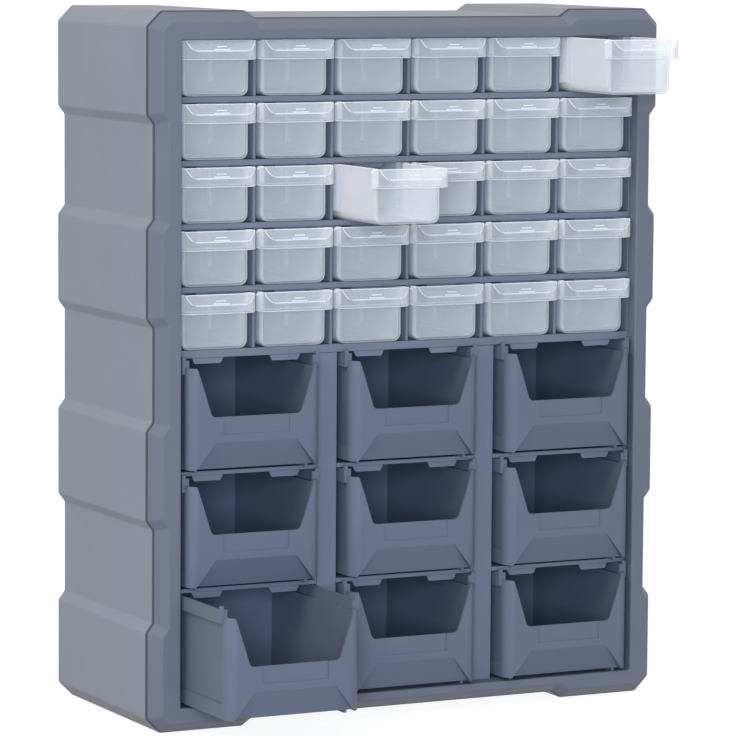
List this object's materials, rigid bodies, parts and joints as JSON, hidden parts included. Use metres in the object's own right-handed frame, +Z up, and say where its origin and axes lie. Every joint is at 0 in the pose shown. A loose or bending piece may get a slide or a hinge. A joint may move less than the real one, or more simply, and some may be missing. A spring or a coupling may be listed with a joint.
{
  "type": "parts bin cabinet",
  "caption": "Free-standing or wall-hung plastic cabinet with stepped sides, small frosted sliding drawers above open-fronted sliding bins.",
  "frame": {"origin": "on the ground, in the middle of the width and of the depth of the cabinet as it rests, with two small drawers and one bin standing open", "axes": "+Z up, +X to the right and +Y to the back; drawers and bins slide along Y and open towards -Y"},
  "size_m": [0.38, 0.2242, 0.4718],
  "materials": {
    "casing_plastic": "fine matt moulded grain",
    "frame_plastic": "fine matt moulded grain",
    "rack_plastic": "matt moulded",
    "bin_plastic": "satin moulded",
    "frosted_plastic": "frosted translucent",
    "zinc_steel": "zinc plated"
  },
  "bodies": {
    "cabinet": {"casing": "casing_plastic", "front_frame": "frame_plastic", "back_panel": "casing_plastic", "panel_screws": "zinc_steel", "rack_shell": "rack_plastic", "mid_shelf": "rack_plastic", "small_shelf_1": "rack_plastic", "small_shelf_2": "rack_plastic", "small_shelf_3": "rack_plastic", "small_shelf_4": "rack_plastic", "small_partition_1": "rack_plastic", "small_partition_2": "rack_plastic", "small_partition_3": "rack_plastic", "small_partition_4": "rack_plastic", "small_partition_5": "rack_plastic", "bin_post_1": "rack_plastic", "bin_post_2": "rack_plastic", "bin_shelf_1": "rack_plastic", "bin_shelf_2": "rack_plastic", "small_drawer_stops": "rack_plastic", "bin_stops": "rack_plastic"},
    "small_drawer_r1c1": {"small_drawer_r1c1": "frosted_plastic"},
    "small_drawer_r1c2": {"small_drawer_r1c2": "frosted_plastic"},
    "small_drawer_r1c3": {"small_drawer_r1c3": "frosted_plastic"},
    "small_drawer_r1c4": {"small_drawer_r1c4": "frosted_plastic"},
    "small_drawer_r1c5": {"small_drawer_r1c5": "frosted_plastic"},
    "small_drawer_r1c6": {"small_drawer_r1c6": "frosted_plastic"},
    "small_drawer_r2c1": {"small_drawer_r2c1": "frosted_plastic"},
    "small_drawer_r2c2": {"small_drawer_r2c2": "frosted_plastic"},
    "small_drawer_r2c3": {"small_drawer_r2c3": "frosted_plastic"},
    "small_drawer_r2c4": {"small_drawer_r2c4": "frosted_plastic"},
    "small_drawer_r2c5": {"small_drawer_r2c5": "frosted_plastic"},
    "small_drawer_r2c6": {"small_drawer_r2c6": "frosted_plastic"},
    "small_drawer_r3c1": {"small_drawer_r3c1": "frosted_plastic"},
    "small_drawer_r3c2": {"small_drawer_r3c2": "frosted_plastic"},
    "small_drawer_r3c3": {"small_drawer_r3c3": "frosted_plastic"},
    "small_drawer_r3c4": {"small_drawer_r3c4": "frosted_plastic"},
    "small_drawer_r3c5": {"small_drawer_r3c5": "frosted_plastic"},
    "small_drawer_r3c6": {"small_drawer_r3c6": "frosted_plastic"},
    "small_drawer_r4c1": {"small_drawer_r4c1": "frosted_plastic"},
    "small_drawer_r4c2": {"small_drawer_r4c2": "frosted_plastic"},
    "small_drawer_r4c3": {"small_drawer_r4c3": "frosted_plastic"},
    "small_drawer_r4c4": {"small_drawer_r4c4": "frosted_plastic"},
    "small_drawer_r4c5": {"small_drawer_r4c5": "frosted_plastic"},
    "small_drawer_r4c6": {"small_drawer_r4c6": "frosted_plastic"},
    "small_drawer_r5c1": {"small_drawer_r5c1": "frosted_plastic"},
    "small_drawer_r5c2": {"small_drawer_r5c2": "frosted_plastic"},
    "small_drawer_r5c3": {"small_drawer_r5c3": "frosted_plastic"},
    "small_drawer_r5c4": {"small_drawer_r5c4": "frosted_plastic"},
    "small_drawer_r5c5": {"small_drawer_r5c5": "frosted_plastic"},
    "small_drawer_r5c6": {"small_drawer_r5c6": "frosted_plastic"},
    "bin_r1c1": {"bin_r1c1": "bin_plastic"},
    "bin_r1c2": {"bin_r1c2": "bin_plastic"},
    "bin_r1c3": {"bin_r1c3": "bin_plastic"},
    "bin_r2c1": {"bin_r2c1": "bin_plastic"},
    "bin_r2c2": {"bin_r2c2": "bin_plastic"},
    "bin_r2c3": {"bin_r2c3": "bin_plastic"},
    "bin_r3c1": {"bin_r3c1": "bin_plastic"},
    "bin_r3c2": {"bin_r3c2": "bin_plastic"},
    "bin_r3c3": {"bin_r3c3": "bin_plastic"}
  },
  "joints": [
    {"name": "small_drawer_r1c1_slide", "type": "slide", "parent": "cabinet", "child": "small_drawer_r1c1", "axis": [0, -1, 0], "range_m": [0, 0.113]},
    {"name": "small_drawer_r1c2_slide", "type": "slide", "parent": "cabinet", "child": "small_drawer_r1c2", "axis": [0, -1, 0], "range_m": [0, 0.113]},
    {"name": "small_drawer_r1c3_slide", "type": "slide", "parent": "cabinet", "child": "small_drawer_r1c3", "axis": [0, -1, 0], "range_m": [0, 0.113]},
    {"name": "small_drawer_r1c4_slide", "type": "slide", "parent": "cabinet", "child": "small_drawer_r1c4", "axis": [0, -1, 0], "range_m": [0, 0.113]},
    {"name": "small_drawer_r1c5_slide", "type": "slide", "parent": "cabinet", "child": "small_drawer_r1c5", "axis": [0, -1, 0], "range_m": [0, 0.113]},
    {"name": "small_drawer_r1c6_slide", "type": "slide", "parent": "cabinet", "child": "small_drawer_r1c6", "axis": [0, -1, 0], "range_m": [-0.06, 0.053]},
    {"name": "small_drawer_r2c1_slide", "type": "slide", "parent": "cabinet", "child": "small_drawer_r2c1", "axis": [0, -1, 0], "range_m": [0, 0.113]},
    {"name": "small_drawer_r2c2_slide", "type": "slide", "parent": "cabinet", "child": "small_drawer_r2c2", "axis": [0, -1, 0], "range_m": [0, 0.113]},
    {"name": "small_drawer_r2c3_slide", "type": "slide", "parent": "cabinet", "child": "small_drawer_r2c3", "axis": [0, -1, 0], "range_m": [0, 0.113]},
    {"name": "small_drawer_r2c4_slide", "type": "slide", "parent": "cabinet", "child": "small_drawer_r2c4", "axis": [0, -1, 0], "range_m": [0, 0.113]},
    {"name": "small_drawer_r2c5_slide", "type": "slide", "parent": "cabinet", "child": "small_drawer_r2c5", "axis": [0, -1, 0], "range_m": [0, 0.113]},
    {"name": "small_drawer_r2c6_slide", "type": "slide", "parent": "cabinet", "child": "small_drawer_r2c6", "axis": [0, -1, 0], "range_m": [0, 0.113]},
    {"name": "small_drawer_r3c1_slide", "type": "slide", "parent": "cabinet", "child": "small_drawer_r3c1", "axis": [0, -1, 0], "range_m": [0, 0.113]},
    {"name": "small_drawer_r3c2_slide", "type": "slide", "parent": "cabinet", "child": "small_drawer_r3c2", "axis": [0, -1, 0], "range_m": [0, 0.113]},
    {"name": "small_drawer_r3c3_slide", "type": "slide", "parent": "cabinet", "child": "small_drawer_r3c3", "axis": [0, -1, 0], "range_m": [-0.054, 0.059]},
    {"name": "small_drawer_r3c4_slide", "type": "slide", "parent": "cabinet", "child": "small_drawer_r3c4", "axis": [0, -1, 0], "range_m": [0, 0.113]},
    {"name": "small_drawer_r3c5_slide", "type": "slide", "parent": "cabinet", "child": "small_drawer_r3c5", "axis": [0, -1, 0], "range_m": [0, 0.113]},
    {"name": "small_drawer_r3c6_slide", "type": "slide", "parent": "cabinet", "child": "small_drawer_r3c6", "axis": [0, -1, 0], "range_m": [0, 0.113]},
    {"name": "small_drawer_r4c1_slide", "type": "slide", "parent": "cabinet", "child": "small_drawer_r4c1", "axis": [0, -1, 0], "range_m": [0, 0.113]},
    {"name": "small_drawer_r4c2_slide", "type": "slide", "parent": "cabinet", "child": "small_drawer_r4c2", "axis": [0, -1, 0], "range_m": [0, 0.113]},
    {"name": "small_drawer_r4c3_slide", "type": "slide", "parent": "cabinet", "child": "small_drawer_r4c3", "axis": [0, -1, 0], "range_m": [0, 0.113]},
    {"name": "small_drawer_r4c4_slide", "type": "slide", "parent": "cabinet", "child": "small_drawer_r4c4", "axis": [0, -1, 0], "range_m": [0, 0.113]},
    {"name": "small_drawer_r4c5_slide", "type": "slide", "parent": "cabinet", "child": "small_drawer_r4c5", "axis": [0, -1, 0], "range_m": [0, 0.113]},
    {"name": "small_drawer_r4c6_slide", "type": "slide", "parent": "cabinet", "child": "small_drawer_r4c6", "axis": [0, -1, 0], "range_m": [0, 0.113]},
    {"name": "small_drawer_r5c1_slide", "type": "slide", "parent": "cabinet", "child": "small_drawer_r5c1", "axis": [0, -1, 0], "range_m": [0, 0.113]},
    {"name": "small_drawer_r5c2_slide", "type": "slide", "parent": "cabinet", "child": "small_drawer_r5c2", "axis": [0, -1, 0], "range_m": [0, 0.113]},
    {"name": "small_drawer_r5c3_slide", "type": "slide", "parent": "cabinet", "child": "small_drawer_r5c3", "axis": [0, -1, 0], "range_m": [0, 0.113]},
    {"name": "small_drawer_r5c4_slide", "type": "slide", "parent": "cabinet", "child": "small_drawer_r5c4", "axis": [0, -1, 0], "range_m": [0, 0.113]},
    {"name": "small_drawer_r5c5_slide", "type": "slide", "parent": "cabinet", "child": "small_drawer_r5c5", "axis": [0, -1, 0], "range_m": [0, 0.113]},
    {"name": "small_drawer_r5c6_slide", "type": "slide", "parent": "cabinet", "child": "small_drawer_r5c6", "axis": [0, -1, 0], "range_m": [0, 0.113]},
    {"name": "bin_r1c1_slide", "type": "slide", "parent": "cabinet", "child": "bin_r1c1", "axis": [0, -1, 0], "range_m": [0, 0.111]},
    {"name": "bin_r1c2_slide", "type": "slide", "parent": "cabinet", "child": "bin_r1c2", "axis": [0, -1, 0], "range_m": [0, 0.111]},
    {"name": "bin_r1c3_slide", "type": "slide", "parent": "cabinet", "child": "bin_r1c3", "axis": [0, -1, 0], "range_m": [0, 0.111]},
    {"name": "bin_r2c1_slide", "type": "slide", "parent": "cabinet", "child": "bin_r2c1", "axis": [0, -1, 0], "range_m": [0, 0.111]},
    {"name": "bin_r2c2_slide", "type": "slide", "parent": "cabinet", "child": "bin_r2c2", "axis": [0, -1, 0], "range_m": [0, 0.111]},
    {"name": "bin_r2c3_slide", "type": "slide", "parent": "cabinet", "child": "bin_r2c3", "axis": [0, -1, 0], "range_m": [0, 0.111]},
    {"name": "bin_r3c1_slide", "type": "slide", "parent": "cabinet", "child": "bin_r3c1", "axis": [0, -1, 0], "range_m": [-0.06, 0.051]},
    {"name": "bin_r3c2_slide", "type": "slide", "parent": "cabinet", "child": "bin_r3c2", "axis": [0, -1, 0], "range_m": [0, 0.111]},
    {"name": "bin_r3c3_slide", "type": "slide", "parent": "cabinet", "child": "bin_r3c3", "axis": [0, -1, 0], "range_m": [0, 0.111]}
  ]
}
